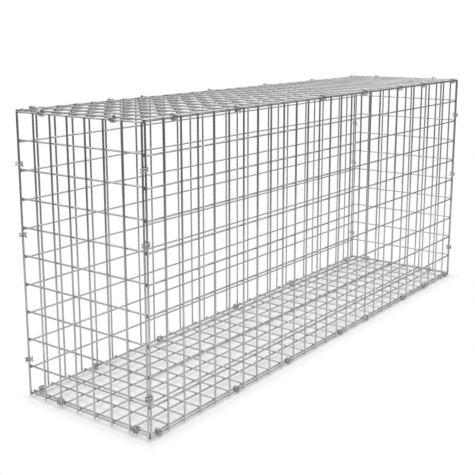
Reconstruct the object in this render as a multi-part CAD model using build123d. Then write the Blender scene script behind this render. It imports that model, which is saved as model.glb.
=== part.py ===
"""Welded-mesh gabion basket, empty and closed.

Six flat panels of straight galvanised wire form a long box: base, lid, front, back and two
ends. Each panel is two layers of wire, welded where they cross. The panels' edge wires lie
in pairs along the twelve edges of the box, and spiral rings of about two turns clip each
pair together.

Millimetres. +X runs along the length, the front faces -Y, +Z is up. The origin is under the
middle of the basket, on the surface that it stands on.
"""

from build123d import *
import math
import os

# Size of the mesh box: between the centres of the outermost uprights, and ten cells high
LENGTH = 1400.0
DEPTH = 340.0
HEIGHT = 606.0

# Cells of the mesh: columns across a long side and across an end, and rows up both
SIDE_COLUMNS = 28
END_COLUMNS = 7
MESH_ROWS = 10

# Panel wire, and how far an upright runs past the outermost row that it is welded to
WIRE_D = 4.0
END_OVERHANG = 4.0

# Spiral ring: its wire, its turns, the gap between two turns and the play round its wires
RING_WIRE_D = 3.0
RING_TURNS = 2.0
RING_GAP = 0.6
RING_PLAY = 0.15

# Flat sides that stand for round wire, and straight steps for each round turn of a ring
WIRE_SIDES = 8
RING_SIDES = 4
RING_STEPS = 8

# Where the rings are clipped, counted in cells along each edge: from the left on the long
# edges, from the front on the short ones and from the bottom on the uprights
RINGS_FRONT_BOTTOM = (0.53, 5.63, 9.7, 14.6, 17.35, 21.77, 24.6, 27.74)
RINGS_FRONT_TOP = (1.72, 5.69, 12.45, 16.55, 20.5, 23.45, 27.6)
RINGS_BACK_BOTTOM = (0.5, 3.75, 8.25, 14.7, 20.4, 27.25)
RINGS_BACK_TOP = (0.7, 5.25, 7.4, 12.5, 17.5, 22.5, 27.4)
RINGS_LEFT_BOTTOM = (0.77, 5.2)
RINGS_LEFT_TOP = (1.6, 5.65)
RINGS_RIGHT_BOTTOM = (1.25, 5.75)
RINGS_RIGHT_TOP = (1.5, 5.5)
RINGS_LEFT_FRONT = (1.36, 6.3, 8.59)
RINGS_LEFT_BACK = (1.3, 5.8, 8.26)
RINGS_RIGHT_FRONT = (1.45, 5.3, 8.32)
RINGS_RIGHT_BACK = (1.43, 5.4, 7.53)

# Each side panel's two layers of wire touch on a plane at this distance from the middle
wire_r = WIRE_D / 2
side_x = LENGTH / 2 + wire_r
side_y = DEPTH / 2 + wire_r

# A ring closes round two wires that lie diagonally, one wire across and one wire up. Its
# steps meet over the wires, so that the straight stretches between clear them too.
ring_wire_r = RING_WIRE_D / 2
ring_pitch = RING_WIRE_D + RING_GAP
half_step = math.pi / RING_STEPS
pair_reach = WIRE_D / math.sqrt(2) + wire_r
ring_r = (pair_reach + RING_PLAY + ring_wire_r) / math.cos(half_step)
ring_reach = ring_r + ring_wire_r / math.cos(half_step)

# Heights of the wire layers. The rings hang lowest and carry the basket. An end panel's rows
# sit on those of the long sides, but its top row lies under theirs, so that the corners are
# locked. The base and the lid both carry their long wires on top of their cross wires.
front_low = max(ring_reach - wire_r, END_OVERHANG)
end_low = front_low + WIRE_D
end_high = front_low + HEIGHT
front_high = end_high + WIRE_D
base_cross_z = front_low
base_long_z = end_low
lid_cross_z = front_high
lid_long_z = front_high + WIRE_D

# The base and the lid lie inside the side panels' outermost rows
edge_inset = WIRE_D + wire_r


def spaced(span, cells):
    """Centres of the wires that divide a span into equal cells, about the middle."""
    return [span * (i / cells - 0.5) for i in range(cells + 1)]


def row_heights(low, high):
    """Heights of a panel's rows, in equal cells from the lowest one up to the top row."""
    return [low + HEIGHT * k / MESH_ROWS for k in range(MESH_ROWS)] + [high]


def wire(start, along, across, length):
    """Straight wire with flats on its four sides, so that crossing wires seat on it."""
    section = RegularPolygon(wire_r, WIRE_SIDES, major_radius=False, rotation=180 / WIRE_SIDES)
    return extrude(Plane(origin=start, x_dir=across, z_dir=along) * section, amount=length)


def wire_x(half, y, z):
    """Wire along X, as long each way from the middle."""
    return wire((-half, y, z), (1, 0, 0), (0, 1, 0), 2 * half)


def wire_y(half, x, z):
    """Wire along Y, as long each way from the middle."""
    return wire((x, -half, z), (0, 1, 0), (0, 0, 1), 2 * half)


def wire_z(x, y, z_low, z_high):
    """Upright wire."""
    return wire((x, y, z_low), (0, 0, 1), (1, 0, 0), z_high - z_low)


def long_side(side):
    """Front (-1) or back (+1) panel, with its uprights outside and its rows inside."""
    row_y = side * (side_y - wire_r)
    rows = [wire_x(side_x, row_y, z) for z in row_heights(front_low, front_high)]
    uprights = [
        wire_z(x, side * (side_y + wire_r), front_low - END_OVERHANG, front_high + END_OVERHANG)
        for x in spaced(LENGTH, SIDE_COLUMNS)
    ]
    return rows + uprights


def short_side(side):
    """Left (-1) or right (+1) end panel, with its uprights outside and its rows inside."""
    row_x = side * (side_x - wire_r)
    rows = [wire_y(side_y, row_x, z) for z in row_heights(end_low, end_high)]
    uprights = [
        wire_z(side * (side_x + wire_r), y, front_low - END_OVERHANG, end_high + END_OVERHANG)
        for y in spaced(DEPTH, END_COLUMNS)
    ]
    return rows + uprights


def flat_panel(long_z, cross_z):
    """Base or lid, with its long wires at one height and its cross wires at another."""
    edge_x = side_x - edge_inset
    edge_y = side_y - edge_inset
    long_wires = [wire_x(side_x - WIRE_D, y, long_z) for y in spaced(2 * edge_y, END_COLUMNS)]
    cross_half = edge_y + wire_r
    cross_wires = [wire_y(cross_half, x, cross_z) for x in spaced(2 * edge_x, SIDE_COLUMNS)]
    return long_wires + cross_wires


def spiral_ring():
    """Ring round the Z axis: its section swept along the coil's steps, mitred at each."""
    steps = round(RING_TURNS * RING_STEPS)
    points = []
    for k in range(steps + 1):
        turn = 2 * half_step * k
        rise = ring_pitch * (k - steps / 2) / RING_STEPS
        points.append(Vector(ring_r * math.cos(turn), ring_r * math.sin(turn), rise))
    outward = (math.cos(half_step), math.sin(half_step), 0)
    start = Plane(origin=points[0], x_dir=outward, z_dir=points[1] - points[0])
    section = start * RegularPolygon(ring_wire_r, RING_SIDES, rotation=180 / RING_SIDES)
    return sweep(section, path=Polyline(*points), transition=Transition.RIGHT)


one_ring = spiral_ring()


def rings(stations, cells, span, start, along, inward):
    """Rings at their stations along an edge, with their cut ends turned inwards."""
    edge = Plane(origin=start, x_dir=inward, z_dir=along).location
    return [edge * Pos(0, 0, span / cells * s) * one_ring for s in stations if s < cells]


def rings_long(stations, side, z, up):
    """Rings along a long edge, round the edge wires of a side panel and the base or lid."""
    start = (-LENGTH / 2, side * (side_y - WIRE_D), z)
    return rings(stations, SIDE_COLUMNS, LENGTH, start, (1, 0, 0), (0, -side, up))


def rings_short(stations, side, z, up):
    """Rings along a short edge, round the edge wires of an end panel and the base or lid."""
    start = (side * (side_x - WIRE_D), -DEPTH / 2, z)
    return rings(stations, END_COLUMNS, DEPTH, start, (0, 1, 0), (-side, 0, up))


def rings_upright(stations, at_x, at_y):
    """Rings up a corner, round the outermost uprights of an end panel and a long side."""
    start = (at_x * side_x, at_y * side_y, front_low)
    return rings(stations, MESH_ROWS, HEIGHT, start, (0, 0, 1), (-at_x, -at_y, 0))


# Heights of the ring centres, midway between the two wires that each ring holds
long_low = (front_low + base_long_z) / 2
long_high = (front_high + lid_long_z) / 2
short_low = (end_low + base_cross_z) / 2
short_high = (end_high + lid_cross_z) / 2

nodes = {
    "base_panel": flat_panel(base_long_z, base_cross_z),
    "lid_panel": flat_panel(lid_long_z, lid_cross_z),
    "front_panel": long_side(-1),
    "back_panel": long_side(1),
    "left_end_panel": short_side(-1),
    "right_end_panel": short_side(1),
    "rings_front_bottom": rings_long(RINGS_FRONT_BOTTOM, -1, long_low, 1),
    "rings_front_top": rings_long(RINGS_FRONT_TOP, -1, long_high, -1),
    "rings_back_bottom": rings_long(RINGS_BACK_BOTTOM, 1, long_low, 1),
    "rings_back_top": rings_long(RINGS_BACK_TOP, 1, long_high, -1),
    "rings_left_bottom": rings_short(RINGS_LEFT_BOTTOM, -1, short_low, 1),
    "rings_left_top": rings_short(RINGS_LEFT_TOP, -1, short_high, -1),
    "rings_right_bottom": rings_short(RINGS_RIGHT_BOTTOM, 1, short_low, 1),
    "rings_right_top": rings_short(RINGS_RIGHT_TOP, 1, short_high, -1),
    "rings_left_front_corner": rings_upright(RINGS_LEFT_FRONT, -1, -1),
    "rings_left_back_corner": rings_upright(RINGS_LEFT_BACK, -1, 1),
    "rings_right_front_corner": rings_upright(RINGS_RIGHT_FRONT, 1, -1),
    "rings_right_back_corner": rings_upright(RINGS_RIGHT_BACK, 1, 1),
}

os.makedirs("parts", exist_ok=True)
for name, solids in nodes.items():
    export_step(Compound(label=name, children=solids), f"parts/{name}.step")
    print(name, len(solids), "solids")
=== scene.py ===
# %% [markdown]
# # A welded-mesh gabion basket, empty and closed
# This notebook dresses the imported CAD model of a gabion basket. Six panels of galvanised wire
# form a long box, and spiral rings clip their edges together. It is a steel thing and stands
# on its own, so every piece rides on the one body of the model.
# We start with the frame: it brings in the CAD model in metres, and everything that is made
# below reads its place from it.

# %% The frame
import math
import random

import bmesh
import bpy
from mathutils import Matrix, Vector


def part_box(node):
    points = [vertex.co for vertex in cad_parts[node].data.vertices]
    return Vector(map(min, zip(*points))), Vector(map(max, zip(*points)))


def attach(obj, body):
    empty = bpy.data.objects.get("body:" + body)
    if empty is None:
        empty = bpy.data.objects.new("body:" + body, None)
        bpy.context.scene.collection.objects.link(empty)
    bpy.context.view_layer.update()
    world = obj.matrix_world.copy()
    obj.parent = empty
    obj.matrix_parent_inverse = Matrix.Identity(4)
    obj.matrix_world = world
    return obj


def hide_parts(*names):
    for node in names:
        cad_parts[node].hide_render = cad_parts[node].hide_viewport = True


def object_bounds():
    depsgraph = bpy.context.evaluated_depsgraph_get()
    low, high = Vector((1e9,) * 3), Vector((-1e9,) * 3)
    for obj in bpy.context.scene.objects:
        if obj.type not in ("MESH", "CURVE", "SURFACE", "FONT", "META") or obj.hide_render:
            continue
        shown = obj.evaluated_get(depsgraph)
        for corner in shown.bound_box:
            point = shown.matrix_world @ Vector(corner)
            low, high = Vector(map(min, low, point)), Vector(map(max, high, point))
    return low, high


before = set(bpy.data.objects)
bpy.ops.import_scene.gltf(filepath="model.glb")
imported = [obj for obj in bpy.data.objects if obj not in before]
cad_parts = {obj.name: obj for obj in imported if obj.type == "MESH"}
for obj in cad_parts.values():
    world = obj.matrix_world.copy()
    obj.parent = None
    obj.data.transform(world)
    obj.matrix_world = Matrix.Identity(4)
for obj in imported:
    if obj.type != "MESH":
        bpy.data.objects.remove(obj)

cad_low, cad_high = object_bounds()
print("CAD nodes:", len(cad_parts), "box:", cad_low, cad_high)

# %% [markdown]
# ## The camera
# The camera comes first, because every later choice is judged through it. Its place was
# worked out from the lines of the mesh: rows that run away from us meet at one vanishing
# point, uprights stay nearly upright. The lens shift stands for a picture that was cropped
# a little off its middle.

# %% Camera at the picture's viewing angle
CAMERA_AT = Vector((-1.8368, -1.2143, 0.7795))
CAMERA_AZIMUTH = math.radians(52.1535)
CAMERA_DOWN = math.radians(11.3264)
CAMERA_ROLL = math.radians(-0.3237)
LENS_MM = 65.69
SHIFT_X, SHIFT_Y = 0.04737, -0.07895

look = Vector((
    math.sin(CAMERA_AZIMUTH) * math.cos(CAMERA_DOWN),
    math.cos(CAMERA_AZIMUTH) * math.cos(CAMERA_DOWN),
    -math.sin(CAMERA_DOWN),
))
camera_data = bpy.data.cameras.new("camera")
camera_data.sensor_width = 36
camera_data.lens = LENS_MM
camera_data.shift_x, camera_data.shift_y = SHIFT_X, SHIFT_Y
camera_data.clip_start, camera_data.clip_end = 0.01, 60
camera = bpy.data.objects.new("camera", camera_data)
camera.matrix_world = (
    Matrix.Translation(CAMERA_AT)
    @ look.to_track_quat("-Z", "Y").to_matrix().to_4x4()
    @ Matrix.Rotation(CAMERA_ROLL, 4, "Z")
)
bpy.context.scene.collection.objects.link(camera)
bpy.context.scene.camera = camera
print("camera looks along", look)

# %% [markdown]
# ## Node helpers
# Every finish here is procedural: a few textures on the object's own coordinates, mixed by
# masks. Two short helpers keep the node trees readable. One adds a node and sets its values,
# the other makes a node group with named inputs and outputs, so that an effect is built once
# and placed in each material with its own numbers.

# %% Helpers for node trees
def add_node(tree, kind, inputs=None, **settings):
    """Add a node. Each input is given a plain value, or the socket that feeds it."""
    node = tree.nodes.new(kind)
    for key, value in settings.items():
        setattr(node, key, value)
    for key, value in (inputs or {}).items():
        if isinstance(value, bpy.types.NodeSocket):
            tree.links.new(value, node.inputs[key])
        else:
            node.inputs[key].default_value = value
    return node


def maths(tree, operation, *values):
    """A Math node's result."""
    return add_node(
        tree, "ShaderNodeMath", dict(enumerate(values)), operation=operation
    ).outputs[0]


def blend_colour(tree, mask, first, second):
    """Colour that goes from first to second as the mask goes from 0 to 1."""
    node = add_node(tree, "ShaderNodeMix", data_type="RGBA")
    for index, value in ((0, mask), (6, first), (7, second)):
        if isinstance(value, bpy.types.NodeSocket):
            tree.links.new(value, node.inputs[index])
        else:
            node.inputs[index].default_value = value
    return node.outputs[2]


def in_range(tree, value, from_low, from_high, to_low, to_high):
    """A value moved from one range to another, smoothly and without passing the ends."""
    ends = {"Value": value, 1: from_low, 2: from_high, 3: to_low, 4: to_high}
    return add_node(
        tree, "ShaderNodeMapRange", ends, interpolation_type="SMOOTHSTEP"
    ).outputs[0]


def new_group(name, inputs, outputs):
    """Empty node group with named sockets, and the nodes at its two ends."""
    tree = bpy.data.node_groups.new(name, "ShaderNodeTree")
    for way, sockets in (("INPUT", inputs), ("OUTPUT", outputs)):
        for socket, kind in sockets.items():
            tree.interface.new_socket(socket, in_out=way, socket_type="NodeSocket" + kind)
    return tree, tree.nodes.new("NodeGroupInput"), tree.nodes.new("NodeGroupOutput")


def grey(level, blue=0.0):
    """A grey as a colour, a little cool where blue is above 0."""
    return (level * (1 - blue), level, level * (1 + blue), 1)

# %% [markdown]
# ## The zinc coat
# The wire is drawn steel, dipped in molten zinc. The zinc sets in small crystals, so a fresh
# coat is a patchwork of slightly lighter and darker, glossier and duller flakes a few
# millimetres across, with broader clouds where the coat cooled faster or has begun to dull.
# A single grey would read as paint. So the group mixes a Voronoi pattern for the crystals
# with two noises, one broad and one fine, and gives colour, roughness and height together,
# because on real zinc they change together.

# %% Group: zinc coat
zinc_group, zinc_in, zinc_out = new_group(
    "zinc_coat",
    {
        "Vector": "Vector", "Crystal Size": "Float", "Cloud Size": "Float",
        "Bright Colour": "Color", "Dull Colour": "Color",
        "Bright Roughness": "Float", "Dull Roughness": "Float",
    },
    {"Colour": "Color", "Roughness": "Float", "Height": "Float"},
)
tree = zinc_group
GRAIN_SIZE = 0.0006
crystal_scale = maths(tree, "DIVIDE", 1.0, zinc_in.outputs["Crystal Size"])
cloud_scale = maths(tree, "DIVIDE", 1.0, zinc_in.outputs["Cloud Size"])
crystals = add_node(
    tree, "ShaderNodeTexVoronoi", {"Vector": zinc_in.outputs["Vector"], "Scale": crystal_scale}
)
flake = add_node(tree, "ShaderNodeSeparateColor", {"Color": crystals.outputs["Color"]}).outputs[0]
clouds = add_node(
    tree, "ShaderNodeTexNoise",
    {"Vector": zinc_in.outputs["Vector"], "Scale": cloud_scale, "Detail": 3.0},
).outputs[0]
grain = add_node(
    tree, "ShaderNodeTexNoise",
    {"Vector": zinc_in.outputs["Vector"], "Scale": 1 / GRAIN_SIZE, "Detail": 2.0},
).outputs[0]
cloud_mask = in_range(tree, clouds, 0.36, 0.64, 0.0, 1.0)
patchwork = maths(tree, "ADD", maths(tree, "MULTIPLY", cloud_mask, 0.70),
                  maths(tree, "MULTIPLY", flake, 0.30))
colour = blend_colour(
    tree, patchwork, zinc_in.outputs["Dull Colour"], zinc_in.outputs["Bright Colour"]
)
rough = add_node(
    tree, "ShaderNodeMapRange",
    {"Value": patchwork, 3: zinc_in.outputs["Dull Roughness"],
     4: zinc_in.outputs["Bright Roughness"]},
).outputs[0]
height = maths(tree, "ADD", maths(tree, "MULTIPLY", flake, 0.6), maths(tree, "MULTIPLY", grain, 0.4))
for socket, result in (("Colour", colour), ("Roughness", rough), ("Height", height)):
    tree.links.new(result, zinc_out.inputs[socket])
print("zinc_coat nodes:", len(zinc_group.nodes))

# %% [markdown]
# ## The weld marks
# Each crossing is a spot weld: current is passed through the two wires until they fuse, and
# the heat leaves a darker, duller halo round the spot. The crossings lie on a regular grid,
# so the mask needs no painting. A ping-pong of each coordinate over half a pitch gives the
# distance to the nearest wire of each layer, and the length of the two together is the
# distance to the nearest weld. A little noise keeps the halo's rim from being a perfect disc.

# %% Group: weld marks
weld_group, weld_in, weld_out = new_group(
    "weld_marks",
    {
        "Vector": "Vector", "Across": "Float", "Up": "Float",
        "First Column": "Float", "Half Column Pitch": "Float",
        "First Row": "Float", "Half Row Pitch": "Float", "Last Row": "Float",
        "Halo": "Float",
    },
    {"Mask": "Float"},
)
tree = weld_group
HALO_WANDER = 0.0035
from_column = maths(
    tree, "PINGPONG",
    maths(tree, "SUBTRACT", weld_in.outputs["Across"], weld_in.outputs["First Column"]),
    weld_in.outputs["Half Column Pitch"],
)
from_grid_row = maths(
    tree, "PINGPONG",
    maths(tree, "SUBTRACT", weld_in.outputs["Up"], weld_in.outputs["First Row"]),
    weld_in.outputs["Half Row Pitch"],
)
from_last_row = maths(
    tree, "ABSOLUTE",
    maths(tree, "SUBTRACT", weld_in.outputs["Up"], weld_in.outputs["Last Row"]),
)
from_row = maths(tree, "MINIMUM", from_grid_row, from_last_row)
both = add_node(tree, "ShaderNodeCombineXYZ", {"X": from_column, "Y": from_row}).outputs[0]
distance = add_node(tree, "ShaderNodeVectorMath", {0: both}, operation="LENGTH").outputs["Value"]
wander = add_node(
    tree, "ShaderNodeTexNoise", {"Vector": weld_in.outputs["Vector"], "Scale": 160.0}
).outputs[0]
uneven = maths(tree, "MULTIPLY_ADD", maths(tree, "SUBTRACT", wander, 0.5), 2 * HALO_WANDER, distance)
mask = in_range(tree, uneven, 0.0, weld_in.outputs["Halo"], 1.0, 0.0)
tree.links.new(mask, weld_out.inputs["Mask"])
print("weld_marks nodes:", len(weld_group.nodes))

# %% [markdown]
# ## The three finishes
# A panel's wire is zinc with weld marks on the panel's own grid, so the material is made once
# for each panel with its pitch and first crossing. The rings are made of thinner, brighter
# wire that was coiled cold, with no welds; the dull patches of their coat are set far darker,
# as painted shade that stands for the shadows between and inside the turns. The third finish
# is the sheared end of a wire, where the cutter went through the coat: darker, matt, and torn
# in fine lines. The lid has the same coat in darker tones, which are painted shade: with the
# common ones it came out paler than in the picture, so they were lowered until its greys
# matched.

# %% Materials
ZINC = {
    "Crystal Size": 0.0032, "Cloud Size": 0.075,
    "Bright Colour": grey(0.54, 0.020), "Dull Colour": grey(0.465, 0.018),
    "Bright Roughness": 0.26, "Dull Roughness": 0.36,
}
# The lid's darker greys are painted shade: the same zinc as the other panels, lowered for the lid
# alone.
LID_ZINC_PAINTED_SHADE = {**ZINC, "Bright Colour": grey(0.42, 0.020), "Dull Colour": grey(0.35, 0.018)}
# The rings' deep dull colour is painted shade, spread in patches for the shadows between and inside
# the turns.
RING_ZINC_AND_PAINTED_SHADE = {
    "Crystal Size": 0.0018, "Cloud Size": 0.007,
    "Bright Colour": grey(0.58, 0.014), "Dull Colour": grey(0.26, 0.014),
    "Bright Roughness": 0.20, "Dull Roughness": 0.32,
}
SCORCH_COLOUR = grey(0.20, 0.01)
SCORCH_ROUGHNESS = 0.55
SCORCH_SHARE = 0.12
WELD_HALO = 0.0055
ZINC_RELIEF = 0.00002
TEAR_RELIEF = 0.00008


def new_material(name):
    """Node material with only its output and its shader, and the object's coordinates."""
    material = bpy.data.materials.new(name)
    material.use_nodes = True
    tree = material.node_tree
    tree.nodes.clear()
    shader = add_node(tree, "ShaderNodeBsdfPrincipled", {"Metallic": 1.0})
    output = tree.nodes.new("ShaderNodeOutputMaterial")
    tree.links.new(shader.outputs[0], output.inputs["Surface"])
    place = tree.nodes.new("ShaderNodeTexCoord").outputs["Object"]
    return material, tree, shader, place


def place_group(tree, group, inputs):
    """A node group placed in a material with its own values."""
    node = tree.nodes.new("ShaderNodeGroup")
    node.node_tree = group
    for key, value in inputs.items():
        if isinstance(value, bpy.types.NodeSocket):
            tree.links.new(value, node.inputs[key])
        else:
            node.inputs[key].default_value = value
    return node


def add_bump(tree, shader, height, depth):
    """Relief of a real depth in metres."""
    bump = add_node(tree, "ShaderNodeBump", {"Height": height, "Distance": depth})
    tree.links.new(bump.outputs[0], shader.inputs["Normal"])


def panel_zinc(name, axes, first, pitch, last_row, look):
    """Zinc of one panel: axes are its two directions, first its first crossing, look its tones."""
    material, tree, shader, place = new_material(name)
    zinc = place_group(tree, zinc_group, {"Vector": place, **look})
    parts = add_node(tree, "ShaderNodeSeparateXYZ", {0: place})
    weld = place_group(tree, weld_group, {
        "Vector": place, "Across": parts.outputs[axes[0]], "Up": parts.outputs[axes[1]],
        "First Column": first[0], "Half Column Pitch": pitch[0] / 2,
        "First Row": first[1], "Half Row Pitch": pitch[1] / 2, "Last Row": last_row,
        "Halo": WELD_HALO,
    })
    scorch = maths(tree, "MULTIPLY", weld.outputs["Mask"], SCORCH_SHARE)
    colour = blend_colour(tree, scorch, zinc.outputs["Colour"], SCORCH_COLOUR)
    rough = maths(tree, "MULTIPLY_ADD", scorch,
                  maths(tree, "SUBTRACT", SCORCH_ROUGHNESS, zinc.outputs["Roughness"]),
                  zinc.outputs["Roughness"])
    tree.links.new(colour, shader.inputs["Base Color"])
    tree.links.new(rough, shader.inputs["Roughness"])
    add_bump(tree, shader, zinc.outputs["Height"], ZINC_RELIEF)
    return material


def ring_zinc_and_painted_shade():
    """Brighter zinc of the cold-coiled ring wire, its dull patches set dark as painted shade."""
    material, tree, shader, place = new_material("ring_zinc_and_painted_shade")
    zinc = place_group(tree, zinc_group, {"Vector": place, **RING_ZINC_AND_PAINTED_SHADE})
    tree.links.new(zinc.outputs["Colour"], shader.inputs["Base Color"])
    tree.links.new(zinc.outputs["Roughness"], shader.inputs["Roughness"])
    add_bump(tree, shader, zinc.outputs["Height"], ZINC_RELIEF)
    return material


def sheared_steel():
    """Face of a cut wire, torn in fine lines by the cutter."""
    material, tree, shader, place = new_material("sheared_steel")
    tears = add_node(
        tree, "ShaderNodeTexNoise", {"Vector": place, "Scale": 2600.0, "Detail": 3.0}
    ).outputs[0]
    colour = blend_colour(tree, tears, grey(0.16, 0.01), grey(0.34, 0.01))
    tree.links.new(colour, shader.inputs["Base Color"])
    tree.links.new(in_range(tree, tears, 0.3, 0.7, 0.42, 0.62), shader.inputs["Roughness"])
    add_bump(tree, shader, tears, TEAR_RELIEF)
    return material


cut_finish = sheared_steel()
ring_finish = ring_zinc_and_painted_shade()
print("materials:", [m.name for m in (cut_finish, ring_finish)])

# %% [markdown]
# ## One wire
# A straight wire is a round bar whose ends were sheared and lightly blunted. We make it from
# a cone operator with two equal radii, ease its rims with a one-step bevel, and keep the
# rims sharp for shading: without that, the long faces would carry the tilt of the tiny
# chamfers along their whole length and the wire would look swollen. Sixteen sides are
# enough for a wire of four millimetres, and with hundreds of wires each one has to be light.

# %% A round wire with blunted ends
WIRE_D = 0.004
wire_r = WIRE_D / 2
WIRE_FACETS = 16
RIM_EASE = 0.00035
COAT, CUT = 0, 1


def turned(direction):
    """Rotation that points Z along a direction."""
    return direction.to_track_quat("Z", "Y").to_matrix().to_4x4()


def add_wire(bm, centre, along, length):
    """Round wire about its centre, with eased rims. Returns its geometry."""
    made = bmesh.ops.create_cone(
        bm, cap_ends=True, segments=WIRE_FACETS, radius1=wire_r, radius2=wire_r,
        depth=length, matrix=Matrix.Translation(centre) @ turned(along),
    )
    faces = {face for vert in made["verts"] for face in vert.link_faces}
    caps = [face for face in faces if len(face.verts) == WIRE_FACETS]
    for face in faces:
        face.smooth = True
    rims = [edge for cap in caps for edge in cap.edges]
    eased = bmesh.ops.bevel(
        bm, geom=rims, offset=RIM_EASE, offset_type="OFFSET", segments=1, profile=0.5,
        affect="EDGES", material=-1,
    )
    for face in eased["faces"]:
        for edge in face.edges:
            edge.smooth = all(f in eased["faces"] for f in edge.link_faces)
    for cap in caps:
        if cap.is_valid:
            cap.material_index = CUT
            cap.smooth = False
    verts = {vert for face in eased["faces"] for vert in face.verts}
    faces = {face for vert in verts for face in vert.link_faces}
    edges = {edge for face in faces for edge in face.edges}
    return list(verts) + list(edges) + list(faces)

# %% [markdown]
# ## One weld
# Where two round wires are fused, the metal between them draws into a short waist. It could
# be a boolean of the two wires with a fillet, which is heavy and fragile thirteen hundred
# times over. A small eight-sided drum, waisted in the middle and buried at both ends in the
# wires, shows the same thing with eighteen faces.

# %% A weld between two crossing wires
WELD_SIDES = 8
WELD_FOOT_R = 0.0017
WELD_WAIST_R = 0.00125
WELD_DEPTH = 0.0022


def add_weld(bm, centre, axis):
    """Waisted drum between two wires that cross. Returns its geometry."""
    place = Matrix.Translation(centre - axis * WELD_DEPTH / 2) @ turned(axis)
    verts = list(bmesh.ops.create_circle(
        bm, cap_ends=True, segments=WELD_SIDES, radius=WELD_FOOT_R, matrix=place
    )["verts"])
    end = verts[0].link_faces[0]
    for radius, from_radius in ((WELD_WAIST_R, WELD_FOOT_R), (WELD_FOOT_R, WELD_WAIST_R)):
        grown = bmesh.ops.extrude_face_region(bm, geom=[end])["geom"]
        rim = [item for item in grown if isinstance(item, bmesh.types.BMVert)]
        end = next(item for item in grown if isinstance(item, bmesh.types.BMFace))
        bmesh.ops.translate(bm, vec=axis * WELD_DEPTH / 2, verts=rim)
        change = radius / from_radius
        bmesh.ops.scale(bm, vec=(change, change, 1), verts=rim, space=place.inverted())
        verts += rim
    faces = {face for vert in verts for face in vert.link_faces}
    for face in faces:
        face.smooth = len(face.verts) == 4
    edges = {edge for face in faces for edge in face.edges}
    return verts + list(edges) + list(faces)

# %% [markdown]
# ## A panel from a few copies
# A welded panel is two layers of parallel wires. So one wire is made for each layer and
# stepped sideways at the pitch of the mesh, and one weld is stepped along the first row, and
# the row of welds is then stepped up. The spin operator does this when its angle is zero:
# it copies the geometry a number of times and moves each copy by the same vector.

# %% Stepping copies, and turning a mesh into a piece
def step_copies(bm, geometry, step, count):
    """Copy geometry count times, each moved one step further."""
    before = set(bm.verts)
    bmesh.ops.spin(
        bm, geom=geometry, cent=(0, 0, 0), axis=(0, 0, 1), dvec=step, angle=0, steps=count,
        use_duplicate=True,
    )
    verts = [vert for vert in bm.verts if vert not in before]
    faces = {face for vert in verts for face in vert.link_faces}
    edges = {edge for face in faces for edge in face.edges}
    return verts + list(edges) + list(faces)


def finish_piece(name, bm, materials, node):
    """The bmesh as a piece that rides on the basket and stands for a CAD node."""
    bmesh.ops.recalc_face_normals(bm, faces=bm.faces)
    mesh = bpy.data.meshes.new(name)
    bm.to_mesh(mesh)
    bm.free()
    for material in materials:
        mesh.materials.append(material)
    piece = bpy.data.objects.new(name, mesh)
    bpy.context.scene.collection.objects.link(piece)
    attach(piece, "root")
    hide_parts(node)
    print(name, "faces:", len(mesh.polygons))
    return piece

# %% [markdown]
# ## The six panels
# Each panel takes its size from the box of its CAD node. Its rows run in one layer and its
# columns in the other, one wire further out, and the wires run a little past the outermost
# crossings, by one or two wires. The uprights' tips are trimmed nearly flush with the outermost
# rows, so that the basket stands on its rings. The top row of a side panel is a wire higher or
# lower than the grid, because the long sides' top rows lie over those of the ends and lock the
# corners. The base and the lid carry their cross wires on top of their long wires, so both are
# built with their columns upwards. The base's plane of welds is lifted by one wire, and the
# lid's sinks until the rings reach round its edge wires.

# %% A welded panel, fitted to its CAD node
AXES = (Vector((1, 0, 0)), Vector((0, 1, 0)), Vector((0, 0, 1)))
X, Y, Z = range(3)
SIDE_COLUMNS, END_COLUMNS, MESH_ROWS = 28, 7, 10
TIP_TRIM = 0.0022
LID_SINK = 0.0030
crossings = {}


def welded_panel(name, node, axes, side, cells, column_past, top_shift=0.0, lift=0.0,
                 look=ZINC):
    """Panel whose rows run along axes[0], with its columns outside on the given side."""
    low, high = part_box(node)
    across, up = AXES[axes[0]], AXES[axes[1]]
    out_axis = ({X, Y, Z} - set(axes)).pop()
    out = AXES[out_axis] * side
    width = (high - low).dot(across) - 2 * wire_r
    height = (high - low).dot(up) - sum(column_past)
    first = Vector((low + high) / 2)
    first[axes[0]] = low[axes[0]] + wire_r
    first[axes[1]] = low[axes[1]] + column_past[0]
    first[out_axis] += lift
    pitch = (width / cells[0], (height - top_shift) / cells[1])
    column_step, row_step = across * pitch[0], up * pitch[1]
    crossings[node] = (first, first + across * width + up * height)

    bm = bmesh.new()
    row = add_wire(bm, first + across * width / 2 - out * wire_r, across, width + 2 * wire_r)
    step_copies(bm, row, row_step, cells[1] - 1)
    step_copies(bm, row, up * height, 1)
    below, above = (past - (TIP_TRIM if up.z else 0) for past in column_past)
    middle = first + up * (height + above - below) / 2
    column = add_wire(bm, middle + out * wire_r, up, height + above + below)
    step_copies(bm, column, column_step, cells[0])
    weld = add_weld(bm, first, out)
    line = weld + step_copies(bm, weld, column_step, cells[0])
    step_copies(bm, line, row_step, cells[1] - 1)
    step_copies(bm, line, up * height, 1)

    place = (first[axes[0]], first[axes[1]])
    coat = panel_zinc(name + "_zinc", axes, place, pitch, place[1] + height, look)
    return finish_piece(name, bm, (coat, cut_finish), node)


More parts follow.
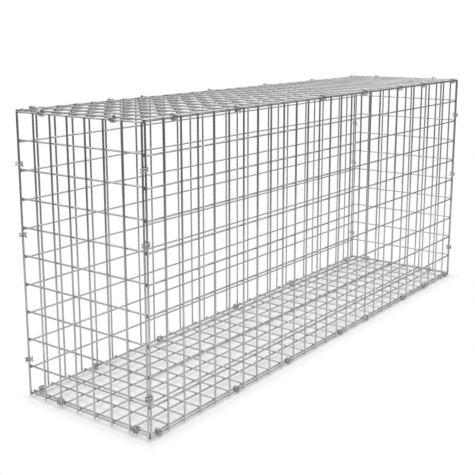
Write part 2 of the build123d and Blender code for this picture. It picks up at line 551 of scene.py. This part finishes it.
ONE, TWO = WIRE_D, 2 * WIRE_D
SIDE_CELLS, END_CELLS = (SIDE_COLUMNS, MESH_ROWS), (END_COLUMNS, MESH_ROWS)
FLAT_CELLS = (SIDE_COLUMNS, END_COLUMNS)
panels = [
    welded_panel("front_mesh", "front_panel", (X, Z), -1, SIDE_CELLS, (ONE, ONE), ONE),
    welded_panel("back_mesh", "back_panel", (X, Z), 1, SIDE_CELLS, (ONE, ONE), ONE),
    welded_panel("left_end_mesh", "left_end_panel", (Y, Z), -1, END_CELLS, (TWO, ONE), -ONE),
    welded_panel("right_end_mesh", "right_end_panel", (Y, Z), 1, END_CELLS, (TWO, ONE), -ONE),
    welded_panel("base_mesh", "base_panel", (X, Y), 1, FLAT_CELLS, (wire_r, wire_r), lift=ONE),
    # The lid takes the coat with its painted shade.
    welded_panel("lid_mesh", "lid_panel", (X, Y), 1, FLAT_CELLS, (wire_r, wire_r),
                 lift=-LID_SINK, look=LID_ZINC_PAINTED_SHADE),
]
print("panels:", len(panels))

# %% [markdown]
# ## A spiral ring
# The clips are short coils of thinner wire, wound over the two edge wires that they hold, as
# a key is wound on to a split ring. The spin operator makes a coil when each step also
# rises: a small disc, tilted to the coil's lead, is carried round for two turns. The first
# and last discs stay as the cut ends.

# %% One ring
RING_WIRE_D = 0.003
RING_GAP = 0.0020
RING_TURNS = 2
RING_R = 0.00675
RING_SIDES = 10
RING_STEPS = 20
ring_pitch = RING_WIRE_D + RING_GAP


def add_ring(bm, place):
    """Two turns of wire round an axis. The cut ends lie on the side of the place's X."""
    lead = math.atan2(ring_pitch, 2 * math.pi * RING_R)
    start = (
        Matrix.Translation((RING_R, 0, -ring_pitch * RING_TURNS / 2))
        @ Matrix.Rotation(math.pi / 2 + lead, 4, "X")
    )
    before = set(bm.verts)
    disc = bmesh.ops.create_circle(
        bm, cap_ends=True, segments=RING_SIDES, radius=RING_WIRE_D / 2, matrix=start
    )["verts"]
    faces = {face for vert in disc for face in vert.link_faces}
    edges = {edge for face in faces for edge in face.edges}
    bmesh.ops.spin(
        bm, geom=list(disc) + list(edges) + list(faces), cent=(0, 0, 0), axis=(0, 0, 1),
        dvec=(0, 0, ring_pitch / RING_STEPS), angle=2 * math.pi * RING_TURNS,
        steps=RING_TURNS * RING_STEPS,
    )
    verts = [vert for vert in bm.verts if vert not in before]
    faces = {face for vert in verts for face in vert.link_faces}
    caps = [face for face in faces if len(face.verts) == RING_SIDES]
    for face in faces:
        face.smooth = len(face.verts) == 4
    for cap in caps:
        cap.material_index = CUT
        for edge in cap.edges:
            edge.smooth = False
    bmesh.ops.transform(bm, matrix=place, verts=verts)

# %% [markdown]
# ## Where the rings sit
# The rings were put on by hand, so they are spaced as it came, at one to five cells. Each
# list gives the places along one edge in cells, from the left, the front or the bottom. A
# seeded turn of a few degrees about its own wires keeps the rings from looking cloned.

# %% The rings along the twelve edges
RINGS_FRONT_BOTTOM = (0.53, 5.63, 9.7, 14.6, 17.35, 21.77, 24.6, 27.74)
RINGS_FRONT_TOP = (1.72, 5.69, 12.45, 16.55, 20.5, 23.45, 27.6)
RINGS_BACK_BOTTOM = (0.5, 3.75, 8.25, 14.7, 20.4, 27.25)
RINGS_BACK_TOP = (0.7, 5.25, 7.4, 12.5, 17.5, 22.5, 27.4)
RINGS_LEFT_BOTTOM = (0.77, 5.2)
RINGS_LEFT_TOP = (1.6, 5.65)
RINGS_RIGHT_BOTTOM = (1.25, 5.75)
RINGS_RIGHT_TOP = (1.5, 5.5)
RINGS_LEFT_FRONT = (1.36, 6.3, 8.59)
RINGS_LEFT_BACK = (1.3, 5.8, 8.26)
RINGS_RIGHT_FRONT = (1.45, 5.3, 8.32)
RINGS_RIGHT_BACK = (1.43, 5.4, 7.53)
RING_TURN_SPREAD = math.radians(28)
chance = random.Random(11)


def ring_row(name, node, stations, start, along, pitch, inward):
    """Rings at their stations along an edge that starts at a point."""
    bm = bmesh.new()
    for station in stations:
        spin = Matrix.Rotation(chance.uniform(-1, 1) * RING_TURN_SPREAD, 4, "Z")
        side = inward.normalized()
        turn = Matrix((side, along.cross(side), along)).transposed().to_4x4()
        add_ring(bm, Matrix.Translation(start + along * pitch * station) @ turn @ spin)
    return finish_piece(name, bm, (ring_finish, cut_finish), node)


side_first, side_last = crossings["front_panel"]
end_first, end_last = crossings["left_end_panel"]
base_first, _ = crossings["base_panel"]
lid_first, _ = crossings["lid_panel"]
column_pitch = (side_last.x - side_first.x) / SIDE_COLUMNS
end_pitch = (end_last.y - end_first.y) / END_COLUMNS
row_pitch = (side_last.z - side_first.z - WIRE_D) / MESH_ROWS

long_y = -side_first.y - WIRE_D
long_low = (side_first.z + base_first.z - wire_r) / 2
long_high = (side_last.z + lid_first.z - wire_r) / 2
short_x = -end_first.x - WIRE_D
short_low = (end_first.z + base_first.z + wire_r) / 2
short_high = (end_last.z + lid_first.z + wire_r) / 2

along_x, along_y, along_z = AXES
ring_rows = []
for where, side, lows, highs in (
    ("front", -1, RINGS_FRONT_BOTTOM, RINGS_FRONT_TOP),
    ("back", 1, RINGS_BACK_BOTTOM, RINGS_BACK_TOP),
):
    for level, stations, z, up in (("bottom", lows, long_low, 1), ("top", highs, long_high, -1)):
        ring_rows.append(ring_row(
            f"{where}_{level}_clips", f"rings_{where}_{level}", stations,
            Vector((side_first.x, side * long_y, z)), along_x, column_pitch,
            Vector((0, -side, up)),
        ))
for where, side, lows, highs in (
    ("left", -1, RINGS_LEFT_BOTTOM, RINGS_LEFT_TOP),
    ("right", 1, RINGS_RIGHT_BOTTOM, RINGS_RIGHT_TOP),
):
    for level, stations, z, up in (("bottom", lows, short_low, 1), ("top", highs, short_high, -1)):
        ring_rows.append(ring_row(
            f"{where}_{level}_clips", f"rings_{where}_{level}", stations,
            Vector((side * short_x, end_first.y, z)), along_y, end_pitch,
            Vector((-side, 0, up)),
        ))
for left_right, front_back, at_x, at_y, stations in (
    ("left", "front", -1, -1, RINGS_LEFT_FRONT), ("left", "back", -1, 1, RINGS_LEFT_BACK),
    ("right", "front", 1, -1, RINGS_RIGHT_FRONT), ("right", "back", 1, 1, RINGS_RIGHT_BACK),
):
    ring_rows.append(ring_row(
        f"{left_right}_{front_back}_clips", f"rings_{left_right}_{front_back}_corner", stations,
        Vector((-at_x * end_first.x, -at_y * side_first.y, side_first.z)), along_z, row_pitch,
        Vector((-at_x, -at_y, 0)),
    ))
print("edges with rings:", len(ring_rows))

# %% [markdown]
# ## The floor
# Bright wire on white is a matter of what it mirrors, so the set comes before the lamps. The
# floor is a white sheet that ends not far from the basket. Seen directly it is plain white,
# and under the basket it keeps the soft shade that the wires cast, which fades out a few
# centimetres past the footprint. In a mirror the part under the basket carries a painted shade,
# a little darker than the rest, as the undersides of the low wires look down into that shade.

# %% White sheet that keeps a soft shade
FLOOR_R = 2.2
FLOOR_ALBEDO = 0.80
FLOOR_LIFT = 0.16
SHADE_FADE = 0.03
MIRRORED_SHADE = 0.86
MIRRORED_REACH, MIRRORED_FADE = -0.01, 0.03


def disc_object(name, radius, z):
    """A flat round sheet."""
    bm = bmesh.new()
    bmesh.ops.create_circle(
        bm, cap_ends=True, segments=96, radius=radius, matrix=Matrix.Translation((0, 0, z))
    )
    mesh = bpy.data.meshes.new(name)
    bm.to_mesh(mesh)
    bm.free()
    made = bpy.data.objects.new(name, mesh)
    bpy.context.scene.collection.objects.link(made)
    return made


def any_of(tree, *values):
    """1 where any of the values is 1."""
    total = values[0]
    for value in values[1:]:
        total = maths(tree, "MAXIMUM", total, value)
    return total


floor_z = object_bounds()[0].z
floor = disc_object("floor", FLOOR_R, floor_z)
sheet = bpy.data.materials.new("white_sheet")
sheet.use_nodes = True
tree = sheet.node_tree
tree.nodes.clear()
rays = tree.nodes.new("ShaderNodeLightPath").outputs
matt = add_node(tree, "ShaderNodeBsdfDiffuse", {"Color": grey(FLOOR_ALBEDO)})
lift = add_node(tree, "ShaderNodeEmission", {"Color": grey(1.0), "Strength": FLOOR_LIFT})
white = add_node(tree, "ShaderNodeEmission", {"Color": grey(1.0), "Strength": 1.0})
lifted = tree.nodes.new("ShaderNodeAddShader")
tree.links.new(matt.outputs[0], lifted.inputs[0])
tree.links.new(lift.outputs[0], lifted.inputs[1])
place = tree.nodes.new("ShaderNodeTexCoord").outputs["Object"]
parts = add_node(tree, "ShaderNodeSeparateXYZ", {0: place})
beyond = [
    maths(tree, "SUBTRACT", maths(tree, "ABSOLUTE", parts.outputs[axis]), half)
    for axis, half in ((X, cad_high.x), (Y, cad_high.y))
]
outside = any_of(tree, *beyond)
far = in_range(tree, outside, 0.0, SHADE_FADE, 0.0, 1.0)
# In mirrors the sheet under the basket is painted shade: its strength drops to MIRRORED_SHADE there.
tone = in_range(tree, outside, MIRRORED_REACH, MIRRORED_REACH + MIRRORED_FADE,
                MIRRORED_SHADE, 1.0)
mirrored_sheet_and_painted_shade = add_node(tree, "ShaderNodeEmission", {"Color": grey(1.0), "Strength": tone})
near = add_node(tree, "ShaderNodeMixShader", {0: far, 1: lifted.outputs[0], 2: white.outputs[0]})
mirrored = any_of(tree, rays["Is Glossy Ray"], rays["Is Transmission Ray"])
seen = any_of(tree, rays["Is Camera Ray"], mirrored)
plain = add_node(tree, "ShaderNodeMixShader", {0: seen, 1: matt.outputs[0], 2: near.outputs[0]})
whole = add_node(tree, "ShaderNodeMixShader", {0: mirrored, 1: plain.outputs[0],
                                               2: mirrored_sheet_and_painted_shade.outputs[0]})
output = tree.nodes.new("ShaderNodeOutputMaterial")
tree.links.new(whole.outputs[0], output.inputs["Surface"])
floor.data.materials.append(sheet)
print("floor at", floor_z)

# %% [markdown]
# ## Dark flats
# Photographers draw the outline of bright metal with dark cards just out of the picture. Here
# they are one low round wall beyond the sheet. It casts no shadow and gives no light, it is
# only there to be mirrored. Uprights mirror what lies level with the eye: their lower parts
# turn pale from the sheet, their upper parts dark from the wall. The rows and the lid mirror
# the white above as well, and stay light.

# %% Dark flats
FLATS_R, FLATS_H = 1.95, 0.75
bm = bmesh.new()
bmesh.ops.create_cone(
    bm, cap_ends=False, segments=96, radius1=FLATS_R, radius2=FLATS_R, depth=FLATS_H,
    matrix=Matrix.Translation((0, 0, floor_z + FLATS_H / 2)),
)
mesh = bpy.data.meshes.new("dark_flats")
bm.to_mesh(mesh)
bm.free()
flats = bpy.data.objects.new("dark_flats", mesh)
bpy.context.scene.collection.objects.link(flats)
flats.visible_camera = flats.visible_diffuse = flats.visible_shadow = False
flats.visible_transmission = flats.visible_volume_scatter = False
card = bpy.data.materials.new("dark_card")
card.use_nodes = True
card.node_tree.nodes.clear()
dim = add_node(card.node_tree, "ShaderNodeEmission", {"Color": grey(0.12), "Strength": 1.0})
output = card.node_tree.nodes.new("ShaderNodeOutputMaterial")
card.node_tree.links.new(dim.outputs[0], output.inputs["Surface"])
flats.data.materials.append(card)

# %% [markdown]
# ## Lamps and world
# Two large soft lamps, one overhead and one from the left, give the plain light of a studio,
# and the world fills in evenly from all sides. Small hard lamps would put a row of sharp
# sparks along every wire. What is seen or mirrored of the world is white, and only its light
# on the basket is turned down, so that the zinc keeps the tone that was written for it.

# %% Lamps and world
def soft_lamp(name, at, aim, size, watts):
    """Large rectangular lamp that looks at a point."""
    data = bpy.data.lights.new(name, "AREA")
    data.shape = "RECTANGLE"
    data.size, data.size_y = size
    data.energy = watts
    lamp = bpy.data.objects.new(name, data)
    direction = Vector(aim) - Vector(at)
    lamp.matrix_world = (
        Matrix.Translation(at) @ direction.to_track_quat("-Z", "Y").to_matrix().to_4x4()
    )
    bpy.context.scene.collection.objects.link(lamp)
    return lamp


MIDDLE = (0, 0, 0.3)
soft_lamp("overhead", (0.2, 0.1, 2.4), MIDDLE, (2.6, 1.8), 30)
soft_lamp("left_side", (-2.2, 0.9, 1.9), MIDDLE, (1.2, 1.2), 12)

FILL = 0.72
world = bpy.data.worlds.new("studio")
bpy.context.scene.world = world
world.use_nodes = True
tree = world.node_tree
tree.nodes.clear()
rays = tree.nodes.new("ShaderNodeLightPath").outputs
seen = any_of(tree, rays["Is Camera Ray"], rays["Is Glossy Ray"], rays["Is Transmission Ray"])
strength = maths(tree, "MULTIPLY_ADD", seen, 1.0 - FILL, FILL)
sky = add_node(tree, "ShaderNodeBackground", {"Color": grey(1.0), "Strength": strength})
output = tree.nodes.new("ShaderNodeOutputWorld")
tree.links.new(sky.outputs[0], output.inputs["Surface"])
bpy.context.scene.view_settings.view_transform = "Standard"
